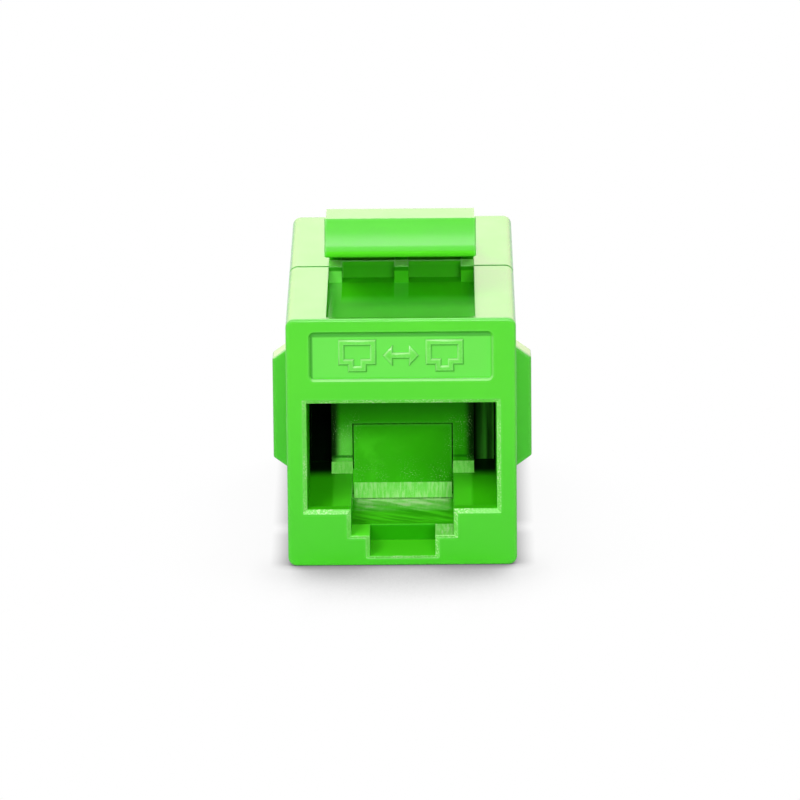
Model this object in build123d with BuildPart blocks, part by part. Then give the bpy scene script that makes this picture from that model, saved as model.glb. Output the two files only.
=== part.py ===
"""Inline coupler for 8-way modular plugs, of the kind that snaps into a wall plate or patch panel.

Two moulded housings meet at the middle. Each has a port with its spring contacts on a carrier, and a small
circuit board between the carriers links the two rows. The latch arm is one moulding with the rear housing.

Sizes are in millimetres. X is across, Y runs from the front port (minus) to the rear port (plus) and Z is up.
The origin lies under the middle of the coupler, on the surface that it rests on. A depth is a distance behind
the front face, a height is above the underside, and a rise is above the housings' top.
"""
from build123d import *
import os

os.makedirs("parts", exist_ok=True)

# Housings
body_width = 14.5
body_height = 16.06
housing_length = 14.6
corner_radius = 0.55
rim_radius = 0.18
seam_chamfer = 0.06
fit_clearance = 0.05

# Plug opening, the same at both ends
plug_width = 12.0
plug_floor = 3.3
plug_roof = 10.55
sill_height = 3.64
sill_length = 1.0
notch_width = 6.5
notch_floor = 1.9
lock_wall = 3.0
slot_width = 4.14
slot_floor = 0.56
slot_depth = 4.2
tab_channel_width = 6.5
tab_channel_floor = 1.6
block_length = 3.0
mouth_bevel = 0.26
notch_floor_bevel = 0.1
slot_floor_bevel = 0.06

# Tongue that closes the tab channel and stands between the carrier's legs
tongue_width = 6.34
tongue_top = 6.26
tongue_thickness = 1.5
tongue_foot_run = 1.1
tongue_foot_rise = 0.8

# Locating spigot of the rear housing, inside a rebate of the front housing
spigot_share = 0.44
spigot_length = 1.0

# Snap tabs of the rear housing, whose barbs catch in windows in the front housing's sides
snap_low = 5.0
snap_high = 10.0
snap_length = 2.8
barb_start_share = 0.58
barb_length_share = 0.32
barb_reach = 0.4

# Label recess in the front face
label_width = 11.4
label_above_opening = 1.58
label_below_top = 0.95
label_corner = 0.25
label_depth = 0.3
label_bevel = 0.12

# Channel along the front housing's top, and the pockets that go on from it in the rear housing
top_channel_width = 9.35
top_channel_depth = 1.1
front_lip = 0.5
pocket_inner = 0.47
pocket_outer = 3.84
pocket_length = 1.5
crossbar = 0.25
window_length = 2.05
window_depth = 2.1

# Side ribs that stop against the back of the panel, and the slot that takes the panel's lower edge
stop_depth = 10.0
rib_thickness = 2.0
rib_reach = 1.07
rib_low = 3.75
rib_high = 11.85
rib_slope = 0.78
rib_edge = 0.2
panel_bar = 2.0
bottom_slot_depth = 0.8

# Latch arm and its catch tooth
latch_width = 9.4
tooth_overhang = 0.1
tooth_rise = 5.25
tooth_top_start = 5.4
tooth_top_length = 2.8
tooth_lip_length = 0.45
ramp_foot_run = 0.28
brow_height = 0.63
ramp_hollow = 0.14
nose_depth = 3.72
nose_rise = 3.12
nose_radius = 0.28
brow_radius = 0.5
catch_floor_rise = 3.25
stop_ridge_rise = 4.3
stop_ridge_length = 0.9
stop_ridge_back = 1.3
arm_thickness = 1.18
arm_slope = 0.222
root_overlap = 1.5
tooth_edge = 0.12

# Contact carriers
carrier_width = 9.2
tray_front = 1.8
tray_recess = 0.3
tray_thickness = 1.3
leg_gap = 0.07
foot_run = 1.15
foot_rise = 0.5
comb_floor = 7.9
comb_depth = 1.6
groove_width = 0.52
groove_depth = 0.45

# Spring contacts
contact_count = 8
contact_pitch = 1.016
contact_width = 0.36
contact_gauge = 0.3
contact_clearance = 0.05
contact_bend_depth = 2.3
contact_bend_drop = 0.87
contact_tip_reach = 0.6
contact_tip_gap = 0.3
contact_bend_radius = 0.4

# Circuit board
board_thickness = 1.2
board_clearance = 0.1
board_pocket = 1.6
shoulder_width = 0.3
shoulder_length = 1.0

# Sizes that follow from the ones above
side_wall = (body_width - plug_width) / 2
spigot_wall = spigot_share * side_wall
rebate_wall = spigot_wall + fit_clearance
end_wall_depth = housing_length - block_length
label_low = plug_roof + label_above_opening
label_high = body_height - label_below_top
tray_low = plug_roof + tray_recess
tray_top = tray_low + tray_thickness
pocket_roof = tray_top + fit_clearance
groove_roof = tray_low + groove_depth
board_face_depth = housing_length - board_thickness / 2
catch_depth = tooth_top_start + tooth_top_length
catch_end_depth = catch_depth + panel_bar
behind_ribs = housing_length - stop_depth - rib_thickness
barb_start = barb_start_share * behind_ribs
barb_length = barb_length_share * behind_ribs
ramp_foot_depth = nose_depth + ramp_foot_run
ramp_foot_rise = nose_rise + brow_height
contact_run_height = groove_roof - contact_clearance - contact_gauge / 2
contact_bend_height = contact_run_height - contact_bend_drop
contact_tip_depth = end_wall_depth + contact_tip_reach
contact_tip_height = comb_floor + contact_tip_gap


def front(depth):
    """The Y of a point that lies this far behind the front face."""
    return depth - housing_length


def port_plane(depth):
    """A plane across the coupler, this far behind the front face, that looks out of the front port."""
    return Plane.XZ.offset(housing_length - depth)


def opening(width, low, high, mode=Mode.ADD):
    """A rectangle that is centred across the coupler and runs between two heights."""
    with Locations((0, (low + high) / 2)):
        Rectangle(width, high - low, mode=mode)


# The hollow of one port: mouth over its sill, chamber, lock wall, tab channel, tray pocket and board pocket
hollow_stages = [
    (plug_width, sill_height, plug_roof, 0, sill_length),
    (plug_width, plug_floor, plug_roof, sill_length, housing_length),
    (notch_width, notch_floor, sill_height, 0, lock_wall),
    (slot_width, slot_floor, sill_height, 0, slot_depth),
    (tab_channel_width, tab_channel_floor, plug_floor, lock_wall, end_wall_depth),
    (carrier_width + 2 * fit_clearance, plug_roof, pocket_roof, tray_front - fit_clearance, housing_length),
    (plug_width, plug_floor, pocket_roof, housing_length - board_pocket, housing_length),
]
mouth_steps = [
    (plug_width, sill_height, plug_roof, mouth_bevel, mouth_bevel),
    (notch_width, notch_floor, sill_height, notch_floor_bevel, 0),
    (slot_width, slot_floor, sill_height, slot_floor_bevel, 0),
]
with BuildPart() as port_hollow:
    for width, low, high, near, far in hollow_stages:
        with BuildSketch(port_plane(near)):
            opening(width, low, high)
        extrude(amount=near - far)

    # Each step of the mouth widens towards the front face
    for width, low, high, floor_bevel, roof_bevel in mouth_steps:
        with BuildSketch(port_plane(0)) as mouth_edge:
            opening(width + 2 * mouth_bevel, low - floor_bevel, high + roof_bevel)
        with BuildSketch(port_plane(mouth_bevel)) as bevel_end:
            opening(width, low, high)
        loft(sections=[mouth_edge.sketch, bevel_end.sketch])

# Tongue at the end of the tab channel, with its sloped foot
with BuildPart() as end_tongue:
    with BuildSketch(Plane.YZ):
        with BuildLine():
            Polyline(
                (front(end_wall_depth - tongue_foot_run), tab_channel_floor),
                (front(end_wall_depth), tab_channel_floor + tongue_foot_rise),
                (front(end_wall_depth), tongue_top),
                (front(end_wall_depth + tongue_thickness), tongue_top),
                (front(end_wall_depth + tongue_thickness), tab_channel_floor),
                close=True,
            )
        make_face()
    extrude(amount=tongue_width / 2, both=True)

# Front housing
with BuildPart() as front_housing:
    with BuildSketch(Plane.XZ):
        with Locations((0, body_height / 2)):
            RectangleRounded(body_width, body_height, corner_radius)
    extrude(amount=housing_length)
    fillet(front_housing.faces().sort_by(Axis.Y)[0].edges(), rim_radius)
    chamfer(front_housing.faces().sort_by(Axis.Y)[-1].edges(), seam_chamfer)

    # Stop ribs on both sides, trapezoids with rounded edges
    with BuildSketch(port_plane(stop_depth)):
        with BuildLine():
            Polyline(
                (body_width / 2 - corner_radius, rib_low),
                (body_width / 2, rib_low),
                (body_width / 2 + rib_reach, rib_low + rib_slope),
                (body_width / 2 + rib_reach, rib_high - rib_slope),
                (body_width / 2, rib_high),
                (body_width / 2 - corner_radius, rib_high),
                close=True,
            )
        make_face()
        mirror(about=Plane.YZ)
    extrude(amount=-rib_thickness)
    rib_edges = front_housing.edges().filter_by(lambda edge: abs(edge.center().X) > body_width / 2 + rib_edge)
    fillet(rib_edges, rib_edge)

    # Port hollow, and the label recess with a bevel round it
    add(port_hollow.part, mode=Mode.SUBTRACT)
    add(end_tongue.part)
    with BuildSketch(port_plane(0)):
        with Locations((0, (label_low + label_high) / 2)):
            RectangleRounded(label_width, label_high - label_low, label_corner)
    extrude(amount=-label_depth, mode=Mode.SUBTRACT)
    label_wire = front_housing.faces().sort_by(Axis.Y)[0].inner_wires().sort_by(Axis.Z)[-1]
    chamfer(label_wire.edges(), label_bevel)

    # Channel along the top, open towards the rear housing
    with BuildSketch(Plane.XY.offset(body_height)):
        with Locations((0, front(front_lip))):
            Rectangle(top_channel_width, housing_length - front_lip, align=(Align.CENTER, Align.MIN))
    extrude(amount=-top_channel_depth, mode=Mode.SUBTRACT)

    # Rebate for the spigot, a groove in each side wall for the snap tabs, and the windows for their barbs
    with BuildSketch(Plane.XZ):
        opening(plug_width + 2 * rebate_wall, plug_floor - rebate_wall, pocket_roof + rebate_wall)
    extrude(amount=spigot_length + fit_clearance, mode=Mode.SUBTRACT)
    with BuildSketch(Plane.XZ):
        opening(plug_width + 2 * rebate_wall, snap_low - fit_clearance, snap_high + fit_clearance)
        opening(plug_width, snap_low - fit_clearance, snap_high + fit_clearance, mode=Mode.SUBTRACT)
    extrude(amount=snap_length + fit_clearance, mode=Mode.SUBTRACT)
    snap_window_middle = (plug_width + side_wall) / 2
    with BuildSketch(Plane.XY.offset(snap_low - fit_clearance)):
        with Locations((-snap_window_middle, -barb_start), (snap_window_middle, -barb_start)):
            with Locations((0, fit_clearance)):
                Rectangle(side_wall, barb_length + 2 * fit_clearance, align=(Align.CENTER, Align.MAX))
    extrude(amount=snap_high - snap_low + 2 * fit_clearance, mode=Mode.SUBTRACT)

    # Slot across the underside for the panel's lower edge
    with BuildSketch(Plane.XY):
        with Locations((0, front(catch_depth))):
            Rectangle(body_width, panel_bar, align=(Align.CENTER, Align.MIN))
    extrude(amount=bottom_slot_depth, mode=Mode.SUBTRACT)

# Rear housing
with BuildPart() as rear_housing:
    with BuildSketch(Plane.XZ):
        with Locations((0, body_height / 2)):
            RectangleRounded(body_width, body_height, corner_radius)
    extrude(amount=-housing_length)
    fillet(rear_housing.faces().sort_by(Axis.Y)[-1].edges(), rim_radius)
    chamfer(rear_housing.faces().sort_by(Axis.Y)[0].edges(), seam_chamfer)
    mirror(port_hollow.part, about=Plane.XZ, mode=Mode.SUBTRACT)
    mirror(end_tongue.part, about=Plane.XZ)

    # Spigot that enters the front housing
    with BuildSketch(Plane.XZ):
        opening(plug_width + 2 * spigot_wall, plug_floor - spigot_wall, pocket_roof + spigot_wall)
        opening(plug_width, plug_floor, pocket_roof, mode=Mode.SUBTRACT)
    extrude(amount=spigot_length)

    # Shoulder on both side walls, which the circuit board rests against
    with BuildSketch(Plane.XZ.offset(-board_thickness / 2)):
        opening(plug_width, plug_floor, pocket_roof)
        opening(plug_width - 2 * shoulder_width, plug_floor, pocket_roof, mode=Mode.SUBTRACT)
    extrude(amount=-shoulder_length)

    # Snap tabs along the side walls, each with a barb that slopes towards its tip
    snap_face = plug_width / 2 + spigot_wall
    with BuildSketch(Plane.XY.offset(snap_low)):
        with BuildLine():
            Polyline(
                (plug_width / 2, 0),
                (snap_face, 0),
                (snap_face, -barb_start),
                (snap_face + barb_reach, -barb_start),
                (snap_face, -barb_start - barb_length),
                (snap_face, -snap_length),
                (plug_width / 2, -snap_length),
                close=True,
            )
        make_face()
        mirror(about=Plane.YZ)
    extrude(amount=snap_high - snap_low)

    # Two pockets that go on from the top channel, and two windows behind the crossbar
    pocket_middle = (pocket_inner + pocket_outer) / 2
    with BuildSketch(Plane.XY.offset(body_height)):
        with Locations((-pocket_middle, 0), (pocket_middle, 0)):
            Rectangle(pocket_outer - pocket_inner, pocket_length, align=(Align.CENTER, Align.MIN))
    extrude(amount=-top_channel_depth, mode=Mode.SUBTRACT)
    with BuildSketch(Plane.XY.offset(body_height)):
        with Locations((-pocket_middle, pocket_length + crossbar), (pocket_middle, pocket_length + crossbar)):
            Rectangle(pocket_outer - pocket_inner, window_length, align=(Align.CENTER, Align.MIN))
    extrude(amount=-window_depth, mode=Mode.SUBTRACT)

    # Latch arm, with the tooth at its front end and its root at the windows' back wall
    top = body_height
    root_y = pocket_length + crossbar + window_length
    nose_y = front(nose_depth)
    arm_start_rise = nose_rise + arm_thickness
    arm_end_y = nose_y + arm_start_rise / arm_slope
    root_rise = nose_rise - arm_slope * (root_y - nose_y)
    ridge_end_y = front(catch_end_depth) + stop_ridge_length
    ridge_foot_y = ridge_end_y + stop_ridge_back
    ridge_foot_rise = arm_start_rise - arm_slope * (ridge_foot_y - nose_y)
    with BuildSketch(Plane.YZ) as latch_side:
        with BuildLine():
            ramp_top = (front(tooth_top_start), top + tooth_rise)
            ramp_middle = (
                (front(tooth_top_start) + front(ramp_foot_depth)) / 2 + ramp_hollow,
                top + (tooth_rise + ramp_foot_rise) / 2 - ramp_hollow,
            )
            ramp_foot = (front(ramp_foot_depth), top + ramp_foot_rise)
            ThreePointArc(ramp_top, ramp_middle, ramp_foot)
            Polyline(
                ramp_foot,
                (nose_y, top + nose_rise),
                (root_y, top + root_rise),
                (root_y, top - root_overlap),
                (arm_end_y, top - root_overlap),
                (arm_end_y, top),
                (ridge_foot_y, top + ridge_foot_rise),
                (ridge_end_y, top + stop_ridge_rise),
                (front(catch_end_depth), top + stop_ridge_rise),
                (front(catch_end_depth), top + catch_floor_rise),
                (front(catch_depth), top + catch_floor_rise),
                (front(catch_depth), top + tooth_rise),
                ramp_top,
            )
        make_face()
        fillet(latch_side.vertices().sort_by(Axis.X)[0], nose_radius)
        fillet(latch_side.vertices().sort_by_distance((*ramp_foot, 0))[0], brow_radius)
    extrude(amount=latch_width / 2, both=True)
    with BuildSketch(Plane.YZ):
        add(latch_side.sketch_local)
        with Locations((front(tooth_top_start) + tooth_lip_length, top)):
            Rectangle(2 * tooth_rise, 2 * tooth_rise, align=(Align.MAX, Align.CENTER), mode=Mode.INTERSECT)
    extrude(amount=latch_width / 2 + tooth_overhang, both=True)
    tooth_sides = rear_housing.faces().filter_by(Axis.X).filter_by(lambda face: face.center().Z > top)
    lip_sides = tooth_sides.group_by(lambda face: round(abs(face.center().X), 3))[-1]
    fillet(lip_sides.edges().filter_by(lambda edge: edge.center().Y < front(tooth_top_start)), tooth_edge)

# Contact carriers: tray along the roof, comb block and two legs with sloped feet
with BuildPart() as front_contact_carrier:
    with BuildSketch(Plane.YZ):
        with BuildLine():
            Polyline(
                (front(end_wall_depth - foot_run), plug_floor),
                (front(end_wall_depth), plug_floor + foot_rise),
                (front(end_wall_depth), tray_low),
                (front(tray_front), tray_low),
                (front(tray_front), tray_top),
                (front(board_face_depth), tray_top),
                (front(board_face_depth), plug_floor),
                close=True,
            )
        make_face()
    extrude(amount=carrier_width / 2, both=True)
    with BuildSketch(port_plane(end_wall_depth - foot_run)):
        opening(tongue_width + 2 * leg_gap, plug_floor, tongue_top + leg_gap)
    extrude(amount=end_wall_depth - foot_run - board_face_depth, mode=Mode.SUBTRACT)
    with BuildSketch(port_plane(tray_front)):
        with Locations((0, (tray_low + groove_roof) / 2)):
            with GridLocations(contact_pitch, 1, contact_count, 1):
                Rectangle(groove_width, groove_roof - tray_low)
    extrude(amount=tray_front - board_face_depth, mode=Mode.SUBTRACT)
    with BuildSketch(port_plane(end_wall_depth)):
        with Locations((0, (comb_floor + tray_low) / 2)):
            with GridLocations(contact_pitch, 1, contact_count, 1):
                Rectangle(groove_width, tray_low - comb_floor)
    extrude(amount=-comb_depth, mode=Mode.SUBTRACT)

with BuildPart() as rear_contact_carrier:
    mirror(front_contact_carrier.part, about=Plane.XZ)

# Circuit board
with BuildPart() as circuit_board:
    with BuildSketch(port_plane(board_face_depth)):
        opening(plug_width - 2 * board_clearance, plug_floor, tray_top)
    extrude(amount=-board_thickness)

front_housing.part.label = "front_housing"
export_step(front_housing.part, "parts/front_housing.step")
rear_housing.part.label = "rear_housing"
export_step(rear_housing.part, "parts/rear_housing.step")
front_contact_carrier.part.label = "front_contact_carrier"
export_step(front_contact_carrier.part, "parts/front_contact_carrier.step")
rear_contact_carrier.part.label = "rear_contact_carrier"
export_step(rear_contact_carrier.part, "parts/rear_contact_carrier.step")
circuit_board.part.label = "circuit_board"
export_step(circuit_board.part, "parts/circuit_board.step")

# Spring contacts: along the tray, round the bend at the mouth and back down into the comb
for number in range(1, contact_count + 1):
    across = (number - (contact_count + 1) / 2) * contact_pitch
    with BuildPart() as front_contact:
        with BuildSketch(Plane.YZ.offset(across)):
            with BuildLine():
                FilletPolyline(
                    (front(board_face_depth), contact_run_height),
                    (front(contact_bend_depth), contact_run_height),
                    (front(contact_bend_depth), contact_bend_height),
                    (front(contact_tip_depth), contact_tip_height),
                    radius=contact_bend_radius,
                )
            trace(line_width=contact_gauge)
        extrude(amount=contact_width / 2, both=True)
    with BuildPart() as rear_contact:
        mirror(front_contact.part, about=Plane.XZ)
    front_contact.part.label = f"front_contact_{number}"
    export_step(front_contact.part, f"parts/front_contact_{number}.step")
    rear_contact.part.label = f"rear_contact_{number}"
    export_step(rear_contact.part, f"parts/rear_contact_{number}.step")
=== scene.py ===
# %% [markdown]
# # An inline coupler, dressed for a product picture
#
# The object is a small moulded coupler that joins two network plugs end to end. Its solids were made in CAD
# at their real size, and this file adds what CAD leaves out: the look of the plastic, the gold of the
# contacts, the raised mark in the label recess, the floor, the light and the camera. It is read from top to
# bottom, and each step first says what the thing is on the real object and why it is made the way it is.

# %% Load the frame
import bmesh
import bpy
import math
from mathutils import Matrix, Vector


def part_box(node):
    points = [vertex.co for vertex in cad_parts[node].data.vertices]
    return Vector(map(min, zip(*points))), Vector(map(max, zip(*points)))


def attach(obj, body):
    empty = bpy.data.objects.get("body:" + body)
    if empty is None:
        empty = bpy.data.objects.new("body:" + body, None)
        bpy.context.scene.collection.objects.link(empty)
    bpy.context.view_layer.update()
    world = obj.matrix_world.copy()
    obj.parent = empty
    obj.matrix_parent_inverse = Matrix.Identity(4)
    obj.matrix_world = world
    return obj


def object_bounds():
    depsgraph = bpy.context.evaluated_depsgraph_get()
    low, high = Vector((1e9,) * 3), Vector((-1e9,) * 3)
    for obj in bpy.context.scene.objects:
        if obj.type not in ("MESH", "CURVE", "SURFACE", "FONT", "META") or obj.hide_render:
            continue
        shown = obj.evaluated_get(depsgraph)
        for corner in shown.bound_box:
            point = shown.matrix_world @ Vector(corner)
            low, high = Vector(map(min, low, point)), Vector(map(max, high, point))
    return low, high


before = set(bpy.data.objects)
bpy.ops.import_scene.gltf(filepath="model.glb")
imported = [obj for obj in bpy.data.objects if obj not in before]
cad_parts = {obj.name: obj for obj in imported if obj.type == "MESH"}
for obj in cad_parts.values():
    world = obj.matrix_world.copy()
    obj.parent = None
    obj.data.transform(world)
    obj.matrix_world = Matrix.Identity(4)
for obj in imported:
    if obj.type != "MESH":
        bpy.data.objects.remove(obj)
cad_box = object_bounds()
print("CAD box in mm", [[round(1000 * value, 2) for value in corner] for corner in cad_box])

# %% [markdown]
# All lengths in Blender are metres, because the CAD model arrives in metres. A maker thinks in millimetres
# at this size, so one factor turns every value below from millimetres to metres.

# %% Units and the sizes that the frame gives
MM = 0.001
front_low, front_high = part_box("front_housing")
face_y = front_low.y
print("front face at", round(face_y / MM, 2), "mm, top at", round(front_high.z / MM, 2), "mm")

# %% [markdown]
# ## The camera
#
# The picture was taken with a long lens from a little above, almost square to the front face. A long lens
# keeps the sides nearly parallel, and the small turn and roll are what a hand-set tripod gives. The camera
# aims by a point in space, which is easier to check than three angles.

# %% Camera
CAMERA_PLACE = Vector((2.63, -483.17, 128.84)) * MM
CAMERA_AIM = Vector((-0.08, -14.6, 10.8)) * MM
CAMERA_ROLL = math.radians(-0.54)
LENS = 345.2
SENSOR = 36.0


def add_camera():
    """Makes the camera, aims it and rolls it about its own line of sight."""
    data = bpy.data.cameras.new("camera")
    data.lens = LENS
    data.sensor_width = SENSOR
    data.clip_start = 0.01
    data.clip_end = 20.0
    camera = bpy.data.objects.new("camera", data)
    bpy.context.scene.collection.objects.link(camera)
    camera.rotation_mode = "QUATERNION"
    aim = (CAMERA_AIM - CAMERA_PLACE).to_track_quat("-Z", "Y")
    camera.location = CAMERA_PLACE
    camera.rotation_quaternion = aim @ Matrix.Rotation(CAMERA_ROLL, 4, "Z").to_quaternion()
    bpy.context.scene.camera = camera
    return camera


camera = add_camera()
print("camera", [round(value / MM, 1) for value in camera.location], "mm")

# %% [markdown]
# ## Node helpers
#
# Materials here are built from nodes. A few small helpers keep them short: one adds a node and fills its
# inputs, one does arithmetic, one gives the coordinates that every pattern reads, and a few turn a
# coordinate into a soft mask, which is how one material can look different on the face, in the port and on
# an edge.


# %% Node helpers
def feed(tree, node, socket, value):
    """Fills an input of a node with either a link or a plain value."""
    if isinstance(value, bpy.types.NodeSocket):
        tree.links.new(value, node.inputs[socket])
    else:
        node.inputs[socket].default_value = value


def add_node(tree, kind, values=None, **settings):
    """Adds a node, sets its properties from the keywords and fills its inputs from the dictionary."""
    node = tree.nodes.new(kind)
    for name, value in settings.items():
        setattr(node, name, value)
    for socket, value in (values or {}).items():
        feed(tree, node, socket, value)
    return node


def start_material(name, values):
    """A material with a Principled shader whose plain values are set on its own sockets."""
    material = bpy.data.materials.new(name)
    material.use_nodes = True
    tree = material.node_tree
    shader = tree.nodes["Principled BSDF"]
    for socket, value in values.items():
        shader.inputs[socket].default_value = value
    return material, tree, shader


def arithmetic(tree, operation, first, second=0.0):
    """One sum, product or other step of arithmetic, held between 0 and 1 for products."""
    node = add_node(tree, "ShaderNodeMath", {0: first, 1: second}, operation=operation,
                    use_clamp=operation == "MULTIPLY")
    return node.outputs["Value"]


# %% [markdown]
# Masks are combined as plainly as they are made. A product keeps what lies in all of them, the strongest
# keeps what lies in any, and the opposite keeps the rest.


# %% Masks put together
def times(tree, *factors):
    """The product of several masks."""
    product = factors[0]
    for factor in factors[1:]:
        product = arithmetic(tree, "MULTIPLY", product, factor)
    return product


def either(tree, *masks):
    """The strongest of several masks."""
    strongest = masks[0]
    for mask in masks[1:]:
        strongest = arithmetic(tree, "MAXIMUM", strongest, mask)
    return strongest


def opposite(tree, mask):
    """All that a mask leaves out."""
    return arithmetic(tree, "SUBTRACT", 1.0, mask)


# %% [markdown]
# The masks themselves are soft steps. Two steps make a band, and bands along two or three coordinates make
# a box with soft sides, here called a zone.


# %% Steps, bands and zones
def rise(tree, value, low, high):
    """A soft step from 0 to 1 while the value goes from low to high, in either direction."""
    forward = high > low
    limits = {"From Min": min(low, high), "From Max": max(low, high)}
    ends = {"To Min": 0.0 if forward else 1.0, "To Max": 1.0 if forward else 0.0}
    step = add_node(tree, "ShaderNodeMapRange", {"Value": value, **limits, **ends},
                    interpolation_type="SMOOTHSTEP")
    return step.outputs["Result"]


def within(tree, value, low, high, soft):
    """A mask that is 1 between two values and fades to 0 just outside them."""
    return times(tree, rise(tree, value, low - soft, low), rise(tree, value, high + soft, high))


def zone(tree, soft, *ranges):
    """A box with soft sides: each range is a coordinate with its two limits in millimetres."""
    bands = [within(tree, value, low * MM, high * MM, soft * MM) for value, low, high in ranges]
    return times(tree, *bands)


# %% [markdown]
# Patterns and places read the object's own coordinates, so they stay put on the part when it is moved. Most
# of the part is the same left and right and front and rear, so two more values give the distance from the
# middle and from the seam.


# %% Patterns and places
def noise_between(tree, coordinates, scale, detail, low, high):
    """A noise whose value runs between two numbers."""
    noise = add_node(tree, "ShaderNodeTexNoise", {"Vector": coordinates, "Scale": scale, "Detail": detail})
    limits = {"From Min": 0.35, "From Max": 0.65, "To Min": low, "To Max": high}
    spread = add_node(tree, "ShaderNodeMapRange", {"Value": noise.outputs["Fac"], **limits})
    return spread.outputs["Result"]


class Place:
    """The object coordinates of the point that is shaded, whole and taken apart."""

    def __init__(self, tree):
        self.whole = add_node(tree, "ShaderNodeTexCoord").outputs["Object"]
        parts = add_node(tree, "ShaderNodeSeparateXYZ", {"Vector": self.whole})
        self.x = parts.outputs["X"]
        self.y = parts.outputs["Y"]
        self.z = parts.outputs["Z"]
        self.off_middle = arithmetic(tree, "ABSOLUTE", self.x)
        self.from_seam = arithmetic(tree, "ABSOLUTE", self.y)


# %% [markdown]
# ## Moulded green plastic
#
# The housings are a bright, glossy green. Moulded plastic is never quite even: the colour drifts a little
# where the melt flowed, and the polished tool leaves a faint waviness that only shows in reflections. So
# the colour comes from a slow noise between two close greens, with painted shade that deepens it towards
# the underside, and the roughness from another. Everything else is laid over that, each thing through its
# own mask, as a painter glazes one colour over another; most of those layers are painted light and shade.

# %% Greens, and how they are laid over one another
# GREEN_LIGHT and GREEN_DEEP are the plastic's own greens. The drift between them also paints shade towards
# the underside. The other greens are light and shade painted into the colour: painted edge light, a painted
# sheen on the label floor, painted shade that also darkens the seam joint, painted deep shade, two greens of
# painted light, painted glints and painted black shade. GREEN_MIRROR and GREEN_FLASH paint the tint of what
# the plastic mirrors.
GREEN_LIGHT = (0.080, 0.695, 0.0095, 1.0)
GREEN_DEEP = (0.052, 0.60, 0.004, 1.0)
GREEN_PAINTED_EDGE_LIGHT = (0.27, 0.84, 0.18, 1.0)
GREEN_PAINTED_LABEL_SHEEN = (0.125, 0.74, 0.055, 1.0)
GREEN_PAINTED_SHADE_AND_JOINT = (0.022, 0.36, 0.002, 1.0)
GREEN_PAINTED_DEEP_SHADE = (0.006, 0.16, 0.001, 1.0)
GREEN_PAINTED_PALE_LIGHT = (0.27, 0.94, 0.15, 1.0)
GREEN_PAINTED_LIT = (0.13, 0.95, 0.03, 1.0)
GREEN_PAINTED_GLINT = (0.62, 0.97, 0.45, 1.0)
GREEN_MIRROR = (0.10, 0.45, 0.05, 1.0)
GREEN_FLASH = (0.38, 1.0, 0.25, 1.0)
PAINTED_BLACK_SHADE = (0.001, 0.01, 0.001, 1.0)
WHITE = (1.0, 1.0, 1.0, 1.0)


def mix_colour(tree, amount, first, second):
    """Mixes two colours, each a link or a plain colour, by an amount."""
    return add_node(tree, "ShaderNodeMix", {0: amount, 6: first, 7: second}, data_type="RGBA").outputs[2]


def lay_over(tree, colour, layers):
    """Lays colours over a first one, each through its own mask."""
    for mask, layer in layers:
        colour = mix_colour(tree, mask, colour, layer)
    return colour


print("greens from", GREEN_PAINTED_DEEP_SHADE[:3], "to", GREEN_PAINTED_GLINT[:3])

# %% [markdown]
# Each part of the moulding that looks different gets its own mask. The numbers are the same millimetres as
# in the CAD part, so a mask is found again on the drawing: across the part, from the seam and above the
# underside. The other thing that a mask can ask for is the way the surface faces, which tells a floor from
# the wall beside it.

# %% A place on the moulding
FACE = -face_y / MM
BEVEL = 0.26


class MouldedPlace(Place):
    """A place on the moulding, with the way it faces and whether it lies inside a port."""

    def __init__(self, tree):
        super().__init__(tree)
        normal = add_node(tree, "ShaderNodeNewGeometry").outputs["True Normal"]
        facing = add_node(tree, "ShaderNodeSeparateXYZ", {"Vector": normal})
        self.faces_x = facing.outputs["X"]
        self.faces_y = facing.outputs["Y"]
        self.faces_z = facing.outputs["Z"]
        self.upward = rise(tree, self.faces_z, 0.2, 0.4)
        self.sideways = rise(tree, arithmetic(tree, "ABSOLUTE", self.faces_x), 0.6, 0.8)
        self.port = zone(tree, 0.08, (self.off_middle, -1.0, 6.1), (self.from_seam, -1.0, FACE - BEVEL),
                         (self.z, 0.4, 10.7))
        # A fine noise that places painted glints and highlights.
        self.glint_noise = noise_between(tree, self.whole, 9000.0, 2.0, 0.0, 1.0)


print("the ports reach from the seam to", round(FACE - BEVEL, 2), "mm")

# %% [markdown]
# ### Floors with painted light
#
# A few floors in the ports are painted lighter where light falls on them: the foot of the tongue, the floor
# before it and two ledges in the mouth. They get painted pale streaks, and their normals lean towards the
# opening, as fine ridges would, so that they flash where they mirror a lamp. The streaks are a noise that is
# stretched along one direction and turned.


# %% Floors with painted light
def painted_streaks(tree, place, sizes, turn):
    """Painted streaks of about these sizes in mm along x, y and z, turned about the upright axis."""
    scale = [size * MM for size in sizes]
    stretched = add_node(tree, "ShaderNodeMapping",
                         {"Vector": place.whole, "Scale": scale, "Rotation": (0, 0, turn)},
                         vector_type="TEXTURE")
    noise = add_node(tree, "ShaderNodeTexNoise",
                     {"Vector": stretched.outputs["Vector"], "Scale": 1.0, "Detail": 3.0})
    return rise(tree, noise.outputs["Fac"], 0.42, 0.62)


def painted_streak_marks(tree, place):
    """Painted light streaks: long slanting ones, fine narrow ones, and how much of both shows on each place.
    """
    streaks = painted_streaks(tree, place, (4.5, 0.7, 2.0), -0.55)
    fine_streaks = painted_streaks(tree, place, (0.14, 1.2, 1.0), 0.0)
    return {
        "streaks": streaks,
        "some_streaks": arithmetic(tree, "ADD", 0.4, times(tree, streaks, 0.6)),
        "fine_streaks": fine_streaks,
        "some_fine_streaks": arithmetic(tree, "ADD", 0.6, times(tree, fine_streaks, 0.4)),
        "patches": noise_between(tree, place.whole, 1100.0, 1.0, 0.1, 1.0),
        "on_tongue": opposite(tree, times(tree, rise(tree, place.off_middle, 3.1 * MM, 3.3 * MM), 0.8)),
    }


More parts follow.
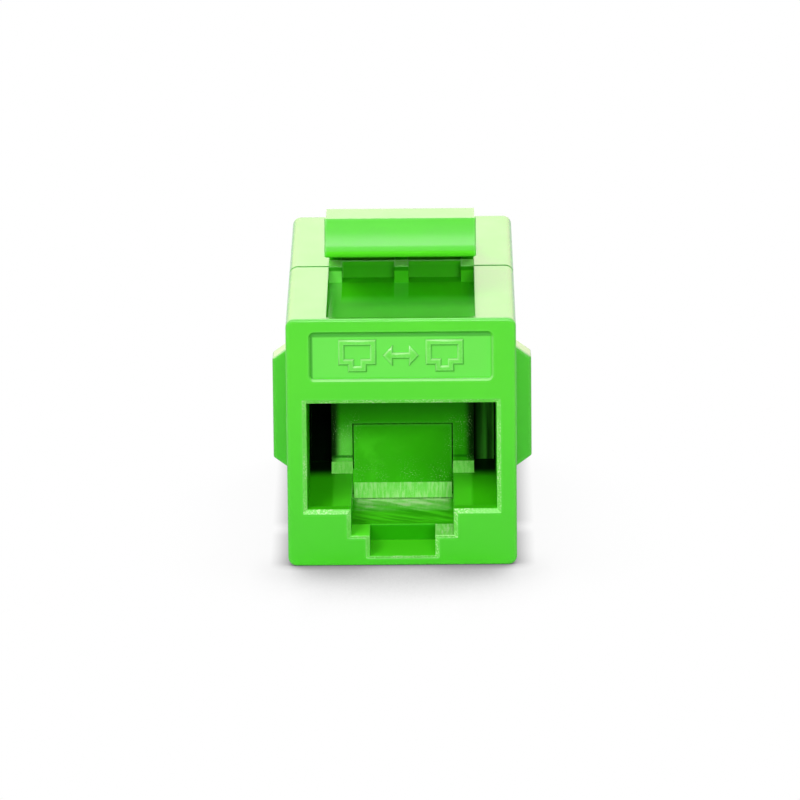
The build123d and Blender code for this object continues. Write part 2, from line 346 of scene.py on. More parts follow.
def painted_floor_places(tree, place, strip_width, strip_ceiling):
    """Masks of the floors that get painted light, and of the crease that gets painted shade. Some are wider
    on the carriers than on the housings.
    """
    floor_width = strip_width - 0.45
    floor_ceiling = strip_ceiling - 1.3
    near_floor = zone(tree, 0.4, (place.off_middle, -1.0, floor_width), (place.z, 0.5, floor_ceiling))
    masks = {
        "foot": zone(tree, 0.1, (place.off_middle, -1.0, strip_width), (place.from_seam, 2.95, 4.15),
                     (place.z, 0.4, strip_ceiling)),
        "near_floor": times(tree, near_floor, rise(tree, place.from_seam, 4.1 * MM, 4.2 * MM),
                            rise(tree, place.from_seam, 7.6 * MM, 5.0 * MM)),
        "far_floor": zone(tree, 0.7, (place.off_middle, -1.0, floor_width), (place.from_seam, 7.2, 9.6),
                          (place.z, 0.5, floor_ceiling)),
        "ledge": zone(tree, 0.05, (place.x, 2.1, 3.3), (place.y, -14.4, -11.6), (place.z, 1.7, 2.0)),
        "left_ledge": zone(tree, 0.05, (place.x, -3.3, -2.1), (place.y, -14.4, -11.6), (place.z, 1.7, 2.0)),
        "slot_floor": zone(tree, 0.05, (place.off_middle, -1.0, 2.1), (place.from_seam, 10.4, 14.4),
                           (place.z, 0.5, 0.7)),
        "crease": zone(tree, 0.04, (place.off_middle, -1.0, 3.2), (place.from_seam, 4.06, 4.16),
                       (place.z, 1.4, 1.75)),
    }
    return {name: times(tree, mask, place.upward) for name, mask in masks.items()}


# %% [markdown]
# The colours go from wide to narrow. First all these floors are painted a lighter green, then their painted
# pale streaks come over that, then painted glints on the streaks, and last painted shade in the crease at the
# foot.


# %% Colours of the floors with painted light
def painted_floor_layers(tree, painted_floors, painted_marks):
    """Painted light and shade on these floors, and the one mask that holds them all."""
    foot = painted_floors["foot"]
    ledge = painted_floors["ledge"]
    near_floor = painted_floors["near_floor"]
    far_floor = painted_floors["far_floor"]
    all_painted_floors = either(tree, foot, near_floor, times(tree, far_floor, 0.6), ledge,
                        times(tree, painted_floors["slot_floor"], 0.5))
    pale = either(tree, times(tree, foot, painted_marks["some_fine_streaks"]),
                  times(tree, near_floor, painted_marks["some_streaks"]),
                  times(tree, ledge, painted_marks["some_fine_streaks"]))
    # Painted light on these floors, painted shade between the far floor's streaks and in the crease, and
    # painted glints.
    layers = [
        (times(tree, painted_floors["left_ledge"], 0.8), GREEN_PAINTED_LIT),
        (times(tree, all_painted_floors, 0.6), GREEN_PAINTED_LIT),
        (times(tree, far_floor, opposite(tree, painted_marks["streaks"]), 0.8), GREEN_PAINTED_SHADE_AND_JOINT),
        (pale, GREEN_PAINTED_PALE_LIGHT),
        (times(tree, pale, painted_marks["fine_streaks"], painted_marks["patches"], painted_marks["on_tongue"], 0.6), GREEN_PAINTED_GLINT),
        (times(tree, near_floor, painted_marks["streaks"], painted_marks["patches"]), GREEN_PAINTED_GLINT),
        (times(tree, painted_floors["crease"], 0.9), GREEN_PAINTED_DEEP_SHADE),
    ]
    return layers, all_painted_floors


# %% [markdown]
# ### Top channel
#
# The channel in the top was polished and mirrors the bars and pockets behind it. Its front part and its
# sides are painted brighter than the rest, outside the strip where the pockets are mirrored, and so are the
# tops of the bars and the left bar, with a painted highlight on the crossbar. The two pockets lie deeper and
# get painted shade.


# %% Top channel
def channel_places(tree, place):
    """Masks of the top channel, and of the pockets and bars that go on from it."""
    inside = zone(tree, 0.05, (place.off_middle, -1.0, 4.7), (place.y, -14.1, 3.9), (place.z, 13.0, 16.0))
    front = zone(tree, 0.05, (place.off_middle, -1.0, 4.66), (place.y, -14.05, 0.0), (place.z, 14.9, 15.1))
    past_mirror = rise(tree, place.y, -3.2 * MM, -6.2 * MM)
    beside_mirror = times(tree, opposite(tree, zone(tree, 0.08, (place.off_middle, 0.5, 3.8))),
                          rise(tree, place.x, 5.0 * MM, -5.0 * MM))
    sides = zone(tree, 0.05, (place.off_middle, 4.55, 4.7), (place.y, -14.1, 0.0), (place.z, 15.0, 15.9))
    bars = zone(tree, 0.05, (place.off_middle, -1.0, 4.66), (place.y, 0.0, 1.8), (place.z, 15.0, 16.1))
    return {
        "inside": inside,
        "front": times(tree, front, either(tree, past_mirror, beside_mirror), place.upward),
        "sides": times(tree, sides, place.sideways),
        "pockets": times(tree, inside, rise(tree, place.y, 0.0, 0.2 * MM),
                         rise(tree, place.z, 15.9 * MM, 15.7 * MM)),
        "left_bar": times(tree, bars, rise(tree, place.x, -3.7 * MM, -3.9 * MM)),
        "bar_tops": times(tree, bars, place.upward, rise(tree, place.z, 15.9 * MM, 16.0 * MM)),
    }


def channel_layers(tree, place, channel):
    """Painted light and shade of the channel: painted shade in the pockets, painted light on its front, its
    sides and the bars, and a painted highlight on the crossbar.
    """
    crossbar = times(tree, channel["bar_tops"], within(tree, place.y, 1.5 * MM, 1.75 * MM, 0.03 * MM),
                     place.glint_noise)
    return [
        (times(tree, channel["pockets"], 0.25), GREEN_PAINTED_SHADE_AND_JOINT),
        (either(tree, channel["front"], channel["sides"]), GREEN_PAINTED_LIT),
        (times(tree, channel["front"], 0.65), GREEN_PAINTED_PALE_LIGHT),
        (times(tree, channel["left_bar"], 0.6), GREEN_PAINTED_PALE_LIGHT),
        (channel["bar_tops"], GREEN_PAINTED_LIT),
        (crossbar, GREEN_PAINTED_PALE_LIGHT),
    ]


# %% [markdown]
# ### Inside the port
#
# Light fades on its way into a port. So the end wall is painted lighter low on the left and darker towards
# the top and right, the left leg and the floor beside the legs are painted lighter, and painted shade makes
# the gaps beside the legs nearly black and darkens the legs' sides, a crease and the slot wall. Deep inside,
# the eroded tool left a coarse grain, and painted glints are scattered over it.


# %% Inside the port
def port_layers(tree, place):
    """Painted light and shade on the end wall, its legs, the floor beside them and the gaps beside them, and
    a mask of those gaps.
    """
    cloud = noise_between(tree, place.whole, 700.0, 3.0, 0.0, 1.0)
    end_wall = times(tree, place.port, rise(tree, place.from_seam, 3.4 * MM, 3.1 * MM))
    painted_lit_wall = times(tree, end_wall, rise(tree, place.z, 6.8 * MM, 4.4 * MM),
                       rise(tree, place.x, 1.6 * MM, -2.6 * MM), either(tree, cloud, 0.5))
    left_leg = times(tree, end_wall, rise(tree, place.x, -3.2 * MM, -3.4 * MM),
                     rise(tree, place.z, 6.9 * MM, 5.0 * MM))
    upper_wall = rise(tree, place.z, 4.8 * MM, 8.2 * MM)
    right_wall = times(tree, rise(tree, place.x, 0.0, 4.4 * MM), either(tree, cloud, 0.7))
    wall_shade = times(tree, end_wall, either(tree, upper_wall, times(tree, right_wall, 0.75)))
    leg_sides = times(tree, end_wall, rise(tree, place.off_middle, 3.9 * MM, 4.45 * MM),
                      rise(tree, place.z, 3.8 * MM, 4.2 * MM))
    bar_crease = zone(tree, 0.04, (place.off_middle, 3.2, 4.5), (place.from_seam, 2.9, 3.15),
                      (place.z, 4.08, 4.2))
    floor_beside = zone(tree, 0.3, (place.off_middle, 3.4, 4.3), (place.from_seam, 4.4, 13.0),
                        (place.z, 3.1, 3.5))
    outer_gap = times(tree, place.port, rise(tree, place.off_middle, 4.1 * MM, 4.7 * MM),
                      rise(tree, place.from_seam, 5.4 * MM, 3.0 * MM))
    slot_wall = zone(tree, 0.03, (place.from_seam, 10.33, 10.48), (place.z, 0.5, 1.52),
                     (place.off_middle, -1.0, 2.2))
    # Painted light on the lower left wall, the left leg and the floor beside the legs; painted shade on the
    # upper and right wall, the leg sides, the crease over the foot bars, the gaps and the slot wall.
    layers = [
        (times(tree, painted_lit_wall, 0.8), GREEN_PAINTED_LIT),
        (times(tree, left_leg, 0.7), GREEN_PAINTED_PALE_LIGHT),
        (times(tree, wall_shade, 0.9), GREEN_PAINTED_DEEP_SHADE),
        (times(tree, end_wall, 0.2), GREEN_PAINTED_SHADE_AND_JOINT),
        (leg_sides, PAINTED_BLACK_SHADE),
        (times(tree, bar_crease, 0.8), GREEN_PAINTED_DEEP_SHADE),
        (times(tree, floor_beside, 0.6), GREEN_PAINTED_LIT),
        (outer_gap, PAINTED_BLACK_SHADE),
        (slot_wall, GREEN_PAINTED_SHADE_AND_JOINT),
    ]
    return layers, either(tree, leg_sides, outer_gap)


def painted_glints(tree, place):
    """Painted glints: small bright specks deep in the port, in its lower part and along its sides."""
    grains = add_node(tree, "ShaderNodeTexNoise", {"Vector": place.whole, "Scale": 14000.0, "Detail": 0.0})
    patches = noise_between(tree, place.whole, 900.0, 1.0, 0.0, 1.0)
    specks = times(tree, rise(tree, grains.outputs["Fac"], 0.62, 0.78), patches)
    low_part = rise(tree, place.z, 4.4 * MM, 3.0 * MM)
    outer_part = rise(tree, place.off_middle, 2.5 * MM, 3.1 * MM)
    deep = times(tree, rise(tree, place.from_seam, 5.2 * MM, 4.6 * MM),
                 rise(tree, place.z, 7.4 * MM, 6.4 * MM))
    not_in_gap = rise(tree, place.off_middle, 4.6 * MM, 4.4 * MM)
    return times(tree, specks, deep, place.port, not_in_gap, either(tree, low_part, outer_part), 0.6)


# %% [markdown]
# ### Edges, borders and the seam
#
# Edges are painted lighter, as a small radius catches light from every side. An ambient occlusion node that
# looks into the plastic finds them: near an outer edge its rays soon meet the next face from within. The
# bevel round each opening gets a painted highlight with painted glints, and the rib tops a painted highlight.
# Slanting borders are told by their normals. Those that look up to the light are painted lighter and those
# that look away are painted darker, and the label recess gets painted shade along its top and left borders.

# %% Edges, borders and the seam
EDGE_REACH = 0.2 * MM


def outer_edges(tree):
    """A mask of the outer edges: 1 on the edge and 0 a short way from it."""
    inward = add_node(tree, "ShaderNodeAmbientOcclusion", {"Distance": EDGE_REACH}, samples=8, inside=True,
                      only_local=True)
    return rise(tree, inward.outputs["AO"], 0.97, 0.62)


def seam_line(tree, place):
    """A mask of the joint between the housings, where the colour stays deep. The latch arm passes over it."""
    outside = either(tree, rise(tree, place.off_middle, 6.9 * MM, 7.0 * MM),
                     rise(tree, place.z, 15.7 * MM, 15.8 * MM))
    below_arm = rise(tree, place.z, 16.25 * MM, 16.15 * MM)
    return times(tree, outside, below_arm, rise(tree, place.from_seam, 0.2 * MM, 0.1 * MM))


def mouth_bevel(tree, place):
    """A mask of the bevel round either opening, found by its slanting normal."""
    slanting = within(tree, arithmetic(tree, "ABSOLUTE", place.faces_y), 0.18, 0.85, 0.04)
    near_face = zone(tree, 0.03, (place.from_seam, FACE - BEVEL - 0.02, FACE),
                     (place.off_middle, -1.0, 6.32), (place.z, 0.3, 10.95))
    return times(tree, slanting, near_face)


def label_slopes(tree, place):
    """Two masks of the label's slanting borders: those that look up to the light and those that look away."""
    near_label = zone(tree, 0.03, (place.off_middle, -1.0, 5.9), (place.y, -14.58, -14.32),
                      (place.z, 12.0, 15.3))
    slanting = rise(tree, arithmetic(tree, "ABSOLUTE", place.faces_y), 0.97, 0.9)
    half_x = add_node(tree, "ShaderNodeMath", {0: place.faces_x, 1: 0.5},
                      operation="MULTIPLY").outputs["Value"]
    towards = arithmetic(tree, "SUBTRACT", place.faces_z, half_x)
    slopes = times(tree, near_label, slanting)
    lit = times(tree, slopes, rise(tree, towards, 0.1, 0.6))
    shaded = times(tree, slopes, rise(tree, towards, -0.1, -0.6))
    return lit, shaded


def edge_layers(tree, place, sheltered):
    """Painted highlights on edges, bevels, lit slopes and the rib tops, and painted shade on shaded slopes
    and the recess's top and left borders. Sheltered edges, deep in the part, get no painted light line.
    """
    speckle = noise_between(tree, place.whole, 6000.0, 1.0, 0.7, 1.0)
    open_edges = times(tree, outer_edges(tree), 0.6, opposite(tree, sheltered))
    bevel = mouth_bevel(tree, place)
    bevel_patches = noise_between(tree, place.whole, 800.0, 1.0, 0.0, 1.0)
    lit_slope, shaded_slope = label_slopes(tree, place)
    recess_top = zone(tree, 0.06, (place.off_middle, -1.0, 5.7), (place.y, -14.38, -14.2),
                      (place.z, 14.86, 15.2))
    recess_left = zone(tree, 0.06, (place.x, -5.75, -5.6), (place.y, -14.38, -14.2), (place.z, 12.0, 15.2))
    rib_tops = times(tree, rise(tree, place.off_middle, 7.2 * MM, 7.3 * MM),
                     rise(tree, place.faces_z, 0.4, 0.7))
    return [
        (times(tree, open_edges, speckle), GREEN_PAINTED_EDGE_LIGHT),
        (times(tree, bevel, speckle, 0.65), GREEN_PAINTED_PALE_LIGHT),
        (times(tree, bevel, rise(tree, place.glint_noise, 0.5, 0.9), bevel_patches), GREEN_PAINTED_GLINT),
        (times(tree, lit_slope, 0.3), GREEN_PAINTED_GLINT),
        (times(tree, shaded_slope, 0.8), GREEN_PAINTED_SHADE_AND_JOINT),
        (times(tree, either(tree, recess_top, recess_left), 0.7), GREEN_PAINTED_SHADE_AND_JOINT),
        (times(tree, rib_tops, 0.8), GREEN_PAINTED_GLINT),
    ]


# %% [markdown]
# ### Mirror light and normals
#
# Outside, the plastic mirrors the white tent. Inside a port or the channel, on the seam and on the hood's
# brow, what it mirrors gets a painted green tint, for one green wall that mirrors the next. The floors with
# painted light lean their normals half way between the camera and the lamp above it, as fine ridges would,
# and so mirror that lamp, with a paler painted green tint. Grain in the port is a bump, because its height
# is far below a tenth of a millimetre. A Bevel node rounds the last sharp edges for the light.

# %% Mirror light and normals
GLOSS = 0.2
PORT_GLOSS = 0.3
EDGE_ROUNDING = 0.06 * MM


def set_mirror_light(tree, shader, place, channel, seam, flashes):
    """Tints and blurs what the plastic mirrors: white outside, a painted green tint from wall to wall and on
    the brow, a paler painted green in a flash.
    """
    channel_rest = opposite(tree, times(tree, channel["front"], 0.6))
    brow = zone(tree, 0.05, (place.off_middle, -1.0, 5.0), (place.y, -11.3, -10.2), (place.z, 19.0, 19.5))
    enclosed = either(tree, place.port, times(tree, channel["inside"], channel_rest, 0.85), seam, brow)
    feed(tree, shader, "Specular Tint",
         lay_over(tree, WHITE, [(enclosed, GREEN_MIRROR), (flashes, GREEN_FLASH)]))
    outside_gloss = noise_between(tree, place.whole, 400.0, 3.0, GLOSS * 0.85, GLOSS * 1.15)
    grained = times(tree, place.port, opposite(tree, flashes))
    roughness = add_node(tree, "ShaderNodeMix", {0: grained, 2: outside_gloss, 3: PORT_GLOSS},
                         data_type="FLOAT")
    feed(tree, shader, "Roughness", roughness.outputs[0])


def lean_to_opening(tree, place, normal, amount):
    """Leans a normal towards the nearer opening, as fine ridges across a floor do."""
    side = arithmetic(tree, "SIGN", arithmetic(tree, "SUBTRACT", place.y, 2.0 * MM))
    opening_way = add_node(tree, "ShaderNodeCombineXYZ", {"Y": side, "Z": 0.27}).outputs["Vector"]
    mix = add_node(tree, "ShaderNodeMix", {0: amount, 4: normal, 5: opening_way}, data_type="VECTOR")
    unit = add_node(tree, "ShaderNodeVectorMath", {0: mix.outputs[1]}, operation="NORMALIZE")
    return unit.outputs["Vector"]


def set_normal(tree, shader, place, grain_height, flashes, lean):
    """Rounds the edges, roughens the port except where it flashes, and leans the floors with painted light.
    """
    rounded = add_node(tree, "ShaderNodeBevel", {"Radius": EDGE_ROUNDING}, samples=4).outputs["Normal"]
    grain = add_node(tree, "ShaderNodeTexNoise", {"Vector": place.whole, "Scale": 8000.0, "Detail": 2.0})
    evener = opposite(tree, times(tree, flashes, 0.7))
    height = times(tree, grain.outputs["Fac"], place.port, evener)
    bump = add_node(tree, "ShaderNodeBump", {"Strength": 1.0, "Distance": grain_height, "Height": height,
                                             "Normal": rounded})
    feed(tree, shader, "Normal", lean_to_opening(tree, place, bump.outputs["Normal"], lean))


# %% [markdown]
# Now the material itself puts the pieces together. Both plastics come from this one function, because they
# were moulded from the same granulate: the carriers only have a coarser grain, and their strip of painted
# light is wider because it runs on over the legs' feet.


# %% Moulded green plastic
def moulded_plastic(name, grain_height, strip_width, strip_ceiling):
    """Green plastic: smooth outside, grained in the ports, with painted light and shade, painted lighter at
    its edges and on a few floors.
    """
    material, tree, shader = start_material(name, {"IOR": 1.5})
    place = MouldedPlace(tree)
    painted_floors = painted_floor_places(tree, place, strip_width, strip_ceiling)
    painted_marks = painted_streak_marks(tree, place)
    channel = channel_places(tree, place)
    seam = seam_line(tree, place)
    # The label floor is painted a paler, whiter green: a painted sheen.
    label_floor = zone(tree, 0.1, (place.off_middle, -1.0, 5.6), (place.y, -14.4, -14.1),
                       (place.z, 12.25, 15.0))

    # Colour, from the even green with painted shade towards the underside, to the painted light and shade and
    # the lines on top of it
    drift_and_low_shade = times(tree, noise_between(tree, place.whole, 180.0, 2.0, 0.75, 1.0),
                  rise(tree, place.z, 0.0, 15.0 * MM))
    green_with_low_shade = mix_colour(tree, drift_and_low_shade, GREEN_DEEP, GREEN_LIGHT)
    in_port, gaps = port_layers(tree, place)
    on_painted_floors, all_painted_floors = painted_floor_layers(tree, painted_floors, painted_marks)
    sheltered = either(tree, channel["inside"], times(tree, place.port, 0.8), gaps)
    layers = [(label_floor, GREEN_PAINTED_LABEL_SHEEN)] + in_port + channel_layers(tree, place, channel) + on_painted_floors
    # Painted glints deep in the port, and the darker seam joint.
    layers += [(painted_glints(tree, place), GREEN_PAINTED_GLINT), (times(tree, seam, 0.9), GREEN_PAINTED_SHADE_AND_JOINT)]
    layers += edge_layers(tree, place, sheltered)
    feed(tree, shader, "Base Color", lay_over(tree, green_with_low_shade, layers))

    # Mirror light, with the flashes of the places that lean towards a lamp
    foot_flash = times(tree, painted_floors["foot"], painted_marks["some_fine_streaks"], painted_marks["on_tongue"], 0.55)
    ledge_flash = times(tree, painted_floors["ledge"], painted_marks["some_fine_streaks"], 0.45)
    floor_flash = times(tree, painted_floors["near_floor"], painted_marks["some_streaks"])
    flashes = either(tree, floor_flash, foot_flash, ledge_flash, channel["bar_tops"])
    set_mirror_light(tree, shader, place, channel, seam, flashes)

    # Normal: most lean on the floors with painted light, a little on all other floors of the port and channel
    floors = times(tree, either(tree, place.port, channel["inside"]), place.upward)
    lean = either(tree, all_painted_floors, channel["bar_tops"], times(tree, seam, place.upward, 0.6),
                  times(tree, channel["sides"], 0.8), times(tree, painted_floors["left_ledge"], 0.5),
                  times(tree, floors, opposite(tree, channel["front"]), 0.22))
    set_normal(tree, shader, place, grain_height, flashes, lean)
    print(name, "has", len(tree.nodes), "nodes and", len(layers), "layers of colour")
    return material


housing_green = moulded_plastic("housing_green", 0.004 * MM, 3.3, 3.2)
carrier_green = moulded_plastic("carrier_green", 0.009 * MM, 4.8, 4.1)

# %% [markdown]
# ## Gold contacts and the dark board
#
# The spring contacts are gold plated, drawn wire, so they are metal whose gloss changes a little along the
# wire. The board behind them has a nearly black, slightly uneven solder mask. Almost no light reaches it,
# and it does not shine; its near black also stands as painted shade in the deep slots beside the legs. A
# band at the right gets a painted green reflection of the wall beside it.

# %% Gold contacts and the dark board
GOLD = (0.9, 0.62, 0.2, 1.0)
BOARD_DARKER = (0.0006, 0.002, 0.0006, 1.0)
BOARD_LIGHTER = (0.001, 0.005, 0.001, 1.0)
BOARD_PAINTED_REFLECTION = (0.1, 0.7, 0.05, 1.0)


def contact_gold():
    """Plated gold with small changes of gloss along the wire."""
    material, tree, shader = start_material("contact_gold", {"Metallic": 1.0, "Base Color": GOLD})
    feed(tree, shader, "Roughness", noise_between(tree, Place(tree).whole, 1500.0, 2.0, 0.16, 0.3))
    return material


def board_dark():
    """Nearly black solder mask over a woven board, partly painted shade, with a painted band of green
    reflection on it.
    """
    material, tree, shader = start_material("board_dark", {"IOR": 1.5, "Specular IOR Level": 0.0})
    place = Place(tree)
    mottle = noise_between(tree, place.whole, 900.0, 3.0, 0.0, 1.0)
    bands = add_node(tree, "ShaderNodeMapping", {"Vector": place.whole, "Scale": (2500.0, 300.0, 120.0)})
    band_noise = noise_between(tree, bands.outputs["Vector"], 1.0, 2.0, 0.15, 1.0)
    # Painted green reflection of the wall, in upright streaks at the right side.
    painted_green_reflection = times(tree, rise(tree, place.x, 4.6 * MM, 5.6 * MM), band_noise)
    colour = mix_colour(tree, mottle, BOARD_DARKER, BOARD_LIGHTER)
    feed(tree, shader, "Base Color", mix_colour(tree, painted_green_reflection, colour, BOARD_PAINTED_REFLECTION))
    feed(tree, shader, "Roughness", noise_between(tree, place.whole, 700.0, 2.0, 0.35, 0.5))
    return material


gold = contact_gold()
board = board_dark()


def dress(node, material):
    """Gives a CAD node one material."""
    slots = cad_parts[node].data.materials
    slots.clear()
    slots.append(material)


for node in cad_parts:
    if "contact_carrier" in node:
        dress(node, carrier_green)
    elif "contact" in node:
        dress(node, gold)
    elif node == "circuit_board":
        dress(node, board)
    else:
        dress(node, housing_green)
print("dressed", len(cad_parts), "nodes")

# %% [markdown]
# ## The raised mark in the label recess
#
# The recess over the opening carries a small raised mark. Here it is a plain pictogram of what the part
# does: two sockets and a double arrow between them. Each form is a flat outline of a few points. The
# socket's outline is inset and its middle taken out, which leaves a ring of even width. Both are then
# pushed out from the recess floor and their front edges rounded, so that they catch the light as raised
# moulding does.

# %% The raised mark
RECESS_FLOOR = face_y + 0.3 * MM
MARK_HEIGHT = 0.18 * MM
MARK_ROUNDING = 0.13 * MM
MARK_MIDDLE = 13.62 * MM
LINE_WIDTH = 0.4 * MM
SOCKET_OFF = 2.75 * MM
SOCKET_OUTLINE = ((-1.2, -0.6), (-0.6, -0.6), (-0.6, -1.05), (0.6, -1.05),
                  (0.6, -0.6), (1.2, -0.6), (1.2, 1.05), (-1.2, 1.05))
ARROW_OUTLINE = ((-1.15, 0.0), (-0.5, -0.7), (-0.5, -0.2), (0.5, -0.2), (0.5, -0.7), (1.15, 0.0),
                 (0.5, 0.7), (0.5, 0.2), (-0.5, 0.2), (-0.5, 0.7))


def raised_outline(form, outline, middle_x, hollow):
    """Adds one raised form to a bmesh: an outline in mm, hollow or solid, that stands on the recess floor."""
    points = [form.verts.new((middle_x + x * MM, RECESS_FLOOR, MARK_MIDDLE + z * MM)) for x, z in outline]
    face = form.faces.new(points)
    form.normal_update()
    shape = [face]
    if hollow:
        shape = bmesh.ops.inset_region(form, faces=[face], thickness=LINE_WIDTH, use_boundary=True,
                                       use_even_offset=True)["faces"]
        bmesh.ops.delete(form, geom=[face], context="FACES_ONLY")
    raised = bmesh.ops.extrude_face_region(form, geom=shape)
    moved = [item for item in raised["geom"] if isinstance(item, bmesh.types.BMVert)]
    bmesh.ops.translate(form, verts=moved, vec=(0.0, -MARK_HEIGHT, 0.0))
    fronts = [item for item in raised["geom"] if isinstance(item, bmesh.types.BMFace)]
    border = [edge for edge in {edge for front in fronts for edge in front.edges}
              if sum(front in fronts for front in edge.link_faces) == 1]
    bmesh.ops.bevel(form, geom=border, offset=MARK_ROUNDING, offset_type="OFFSET", segments=4, profile=0.5,
                    affect="EDGES", material=-1)


def add_label_mark():
    """The two sockets and the double arrow as one mesh."""
    form = bmesh.new()
    for side in (-1, 1):
        raised_outline(form, SOCKET_OUTLINE, side * SOCKET_OFF, True)
    raised_outline(form, ARROW_OUTLINE, 0.0, False)
    bmesh.ops.recalc_face_normals(form, faces=form.faces)
    mesh = bpy.data.meshes.new("label_mark")
    form.to_mesh(mesh)
    form.free()
    mesh.shade_smooth()
    mark = bpy.data.objects.new("label_mark", mesh)
    mark.data.materials.append(housing_green)
    bpy.context.scene.collection.objects.link(mark)
    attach(mark, "root")
    return mark


label_mark = add_label_mark()
print("label mark", len(label_mark.data.polygons), "faces")

# %% [markdown]
# ## Floor, light and background
#
# The object stands on a white table under a white tent of light. A tent lights from all round, so the
# shadow is only a soft darkening where the object keeps the light off. The floor shows the camera a painted
# shadow, made from how open each point of it is, which is what such a shadow is, and strongest before the
# face. For every other ray it is a plain white surface that lights the object from below.

# %% Floor
FLOOR_HALF = 1.5
SHADOW_REACH = 14.0 * MM
CONTACT_REACH = 1.3 * MM
SHADOW_GAIN = 1.19
SHADOW_START = 0.135
SHADOW_BESIDE = 0.15
FLOOR_WHITE = 0.86


def white_table():
    """Floor material: painted soft shadow on white for the camera, plain white for other rays."""
    white = (FLOOR_WHITE, FLOOR_WHITE, FLOOR_WHITE, 1.0)
    material, tree, shader = start_material("white_table", {"Base Color": white, "Roughness": 0.9})
    place = Place(tree)

    # How strongly the shadow shows: fully before the face, faintly elsewhere
    before_face = rise(tree, place.y, -10.6 * MM, -16.6 * MM)
    across = rise(tree, place.off_middle, 10.5 * MM, 5.5 * MM)
    strength = add_node(tree, "ShaderNodeMapRange", {"Value": times(tree, before_face, across),
                                                     "To Min": SHADOW_BESIDE, "To Max": 1.0})

    # Wide shadow, for light that comes from low behind, and the dark line where the part touches the table
    light_way = add_node(tree, "ShaderNodeCombineXYZ", {"Y": 0.966, "Z": 0.259}).outputs["Vector"]
    cast = add_node(tree, "ShaderNodeAmbientOcclusion", {"Distance": SHADOW_REACH, "Normal": light_way},
                    samples=16)
    hidden = add_node(tree, "ShaderNodeMapRange", {"Value": opposite(tree, cast.outputs["AO"]),
                                                   "To Min": -SHADOW_START,
                                                   "To Max": SHADOW_GAIN - SHADOW_START})
    shadow = times(tree, either(tree, hidden.outputs["Result"], 0.0), strength.outputs["Result"])
    contact = add_node(tree, "ShaderNodeAmbientOcclusion", {"Distance": CONTACT_REACH}, samples=12)
    bright = times(tree, opposite(tree, shadow), contact.outputs["AO"])
    glow = add_node(tree, "ShaderNodeEmission", {"Strength": bright})

    # The camera and clear or mirroring surfaces see the glow, and all other rays see plain white
    path = add_node(tree, "ShaderNodeLightPath").outputs
    seen = either(tree, path["Is Camera Ray"], path["Is Glossy Ray"], path["Is Transmission Ray"])
    mix = add_node(tree, "ShaderNodeMixShader",
                   {0: seen, 1: shader.outputs["BSDF"], 2: glow.outputs["Emission"]})
    feed(tree, tree.nodes["Material Output"], "Surface", mix.outputs["Shader"])
    return material


def add_floor():
    """One large flat face under the object."""
    mesh = bpy.data.meshes.new("floor")
    form = bmesh.new()
    bmesh.ops.create_grid(form, x_segments=1, y_segments=1, size=FLOOR_HALF)
    form.to_mesh(mesh)
    form.free()
    floor = bpy.data.objects.new("floor", mesh)
    floor.data.materials.append(white_table())
    bpy.context.scene.collection.objects.link(floor)
    return floor


floor = add_floor()
print("floor", round(2 * FLOOR_HALF, 1), "m square")

# %% [markdown]
# The tent is the world: white from every side. The camera sees it as plain white. Shiny surfaces see it
# brighter overhead, where the tent's lamp shines through, and yellower low down behind the object, so what
# they mirror there stays green. That last patch takes blue away, which is why its blue is below zero.

# %% Light
TENT_LIGHT = 0.25
TENT_FRONT = (0.55, 0.55, 0.55)
TENT_UPPER = (2.3, 2.3, 2.3)
TENT_LAMP = (2.3, 2.3, 2.3)
TENT_BACK = (0.20, 0.12, -0.35)
LAMP_WAY = Vector((0.0, 0.31, 0.95)).normalized()
BACK_WAY = Vector((0.0, 1.0, 0.2)).normalized()
TENT_PATCHES = ((LAMP_WAY, -0.2, 0.9, TENT_UPPER), (LAMP_WAY, 0.75, 0.98, TENT_LAMP),
                (BACK_WAY, 0.55, 0.95, TENT_BACK))


def add_patch(tree, light, ray_way, way, low, high, colour):
    """Adds a soft patch of colour to the tent's light, strongest where the ray goes the patch's way."""
    agreement = add_node(tree, "ShaderNodeVectorMath", {0: ray_way, 1: way}, operation="DOT_PRODUCT")
    amount = rise(tree, agreement.outputs["Value"], low, high)
    tint = add_node(tree, "ShaderNodeVectorMath", {0: colour, "Scale": amount}, operation="SCALE")
    total = add_node(tree, "ShaderNodeVectorMath", {0: tint.outputs["Vector"], 1: light}, operation="ADD")
    return total.outputs["Vector"]


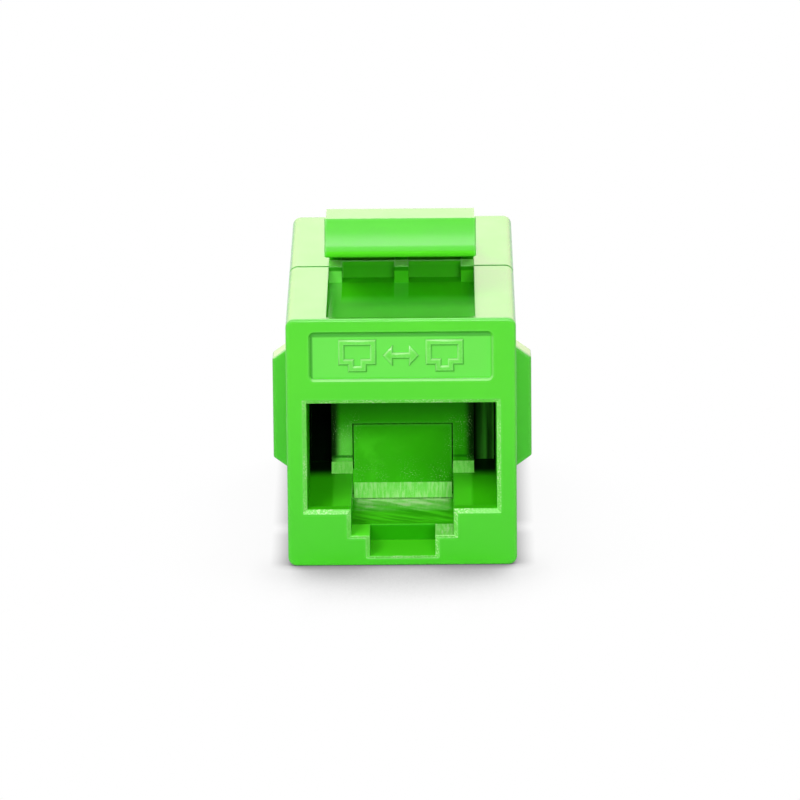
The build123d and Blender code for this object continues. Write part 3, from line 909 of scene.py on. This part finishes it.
def add_tent():
    """World light with its own look for the camera, for mirror rays and for the rest."""
    world = bpy.data.worlds.new("tent")
    bpy.context.scene.world = world
    world.use_nodes = True
    tree = world.node_tree
    ray_way = add_node(tree, "ShaderNodeTexCoord").outputs["Generated"]
    mirrored = TENT_FRONT
    for way, low, high, colour in TENT_PATCHES:
        mirrored = add_patch(tree, mirrored, ray_way, way, low, high, colour)
    path = add_node(tree, "ShaderNodeLightPath").outputs
    shared = mix_colour(tree, path["Is Glossy Ray"], (TENT_LIGHT, TENT_LIGHT, TENT_LIGHT, 1.0), mirrored)
    seen = either(tree, path["Is Camera Ray"], path["Is Transmission Ray"])
    feed(tree, tree.nodes["Background"], "Color", mix_colour(tree, seen, shared, WHITE))


add_tent()
print("tent with", len(TENT_PATCHES), "patches of mirrored light")

# %% [markdown]
# Three soft lamps do the rest. The key stands upper left and models the face. A second stands behind the
# camera, a little above it and to its right. It reaches into the port as a flash does, and it is what the
# ground places mirror. The third fills the rear half in, and is kept out of reflections so that the glossy
# tops don't show it.

# %% Lamps
LAMPS = (
    ("key_upper_left", (-0.2, -0.428, 0.38), 0.2, 1.3, True),
    ("fill_right", (0.06, -0.60, 0.185), 0.2, 1.45, True),
    ("fill_behind", (-0.12, 0.60, 0.12), 0.25, 1.6, False),
)


def add_softbox(name, place, aim, size, power, mirrored):
    """A square area lamp that faces a point, and may be kept out of reflections."""
    place = Vector(place)
    data = bpy.data.lights.new(name, "AREA")
    data.shape = "SQUARE"
    data.size = size
    data.energy = power
    lamp = bpy.data.objects.new(name, data)
    lamp.location = place
    lamp.rotation_mode = "QUATERNION"
    lamp.rotation_quaternion = (aim - place).to_track_quat("-Z", "Y")
    lamp.visible_glossy = mirrored
    bpy.context.scene.collection.objects.link(lamp)
    return lamp


middle = (cad_box[0] + cad_box[1]) / 2
for name, place, size, power, mirrored in LAMPS:
    lamp = add_softbox(name, place, middle, size, power, mirrored)
    print(lamp.name, "stands", round((lamp.location - middle).length, 2), "m off and gives", power, "W")
bpy.context.scene.view_settings.view_transform = "Standard"
